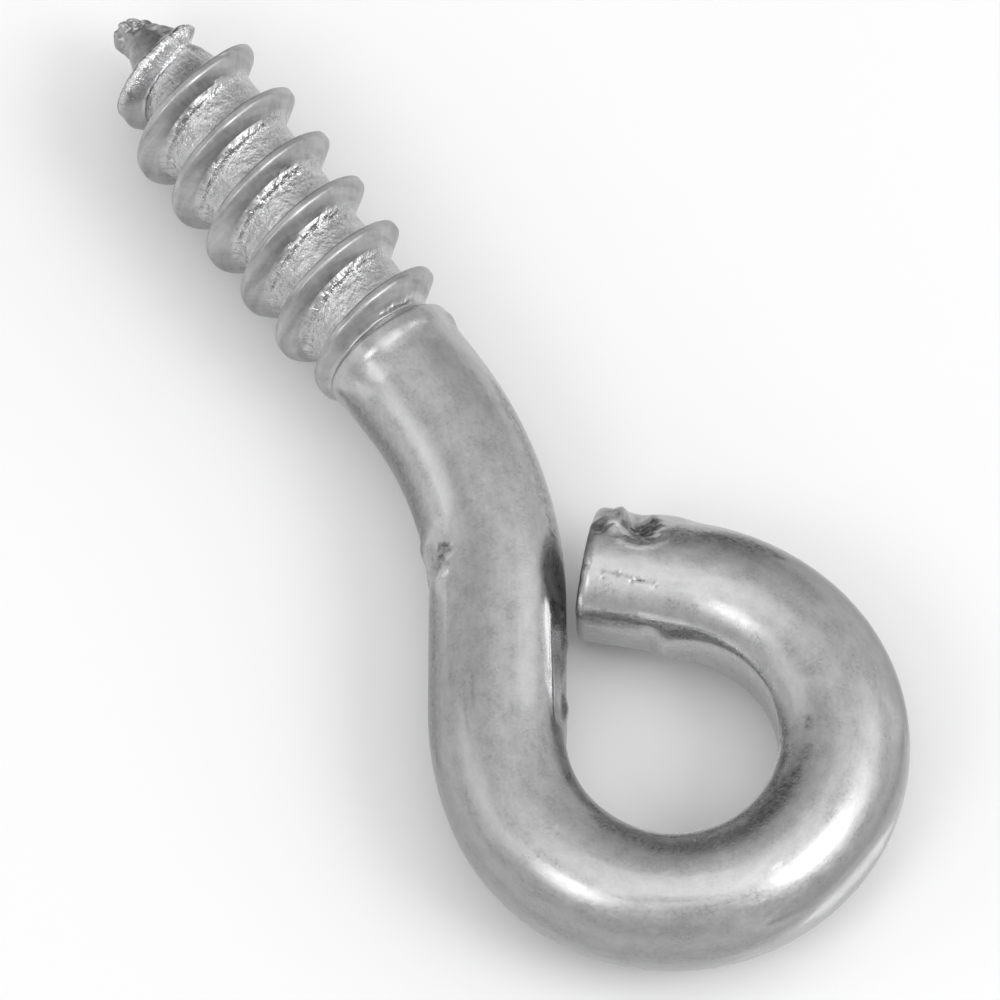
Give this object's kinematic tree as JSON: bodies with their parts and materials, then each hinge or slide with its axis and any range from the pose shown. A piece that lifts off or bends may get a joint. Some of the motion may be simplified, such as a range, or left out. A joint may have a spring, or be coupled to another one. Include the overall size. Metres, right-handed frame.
{
  "type": "screw eye",
  "caption": "Small steel screw eye: a round eye bent in plain wire, with a right-hand wood thread rolled on its shank.",
  "frame": {"origin": "centre of the eye, on the middle plane of the wire", "axes": "+Z along the axis of the eye, which is up as the screw eye lies; +X alongside the shank, towards the tip"},
  "size_m": [0.0397, 0.0154, 0.0056],
  "materials": {
    "zinc_plated_steel": "satin zinc plating over drawn wire, with crinkled metal between the thread's ridges"
  },
  "bodies": {
    "root": {"screw_eye": "zinc_plated_steel"}
  },
  "joints": []
}
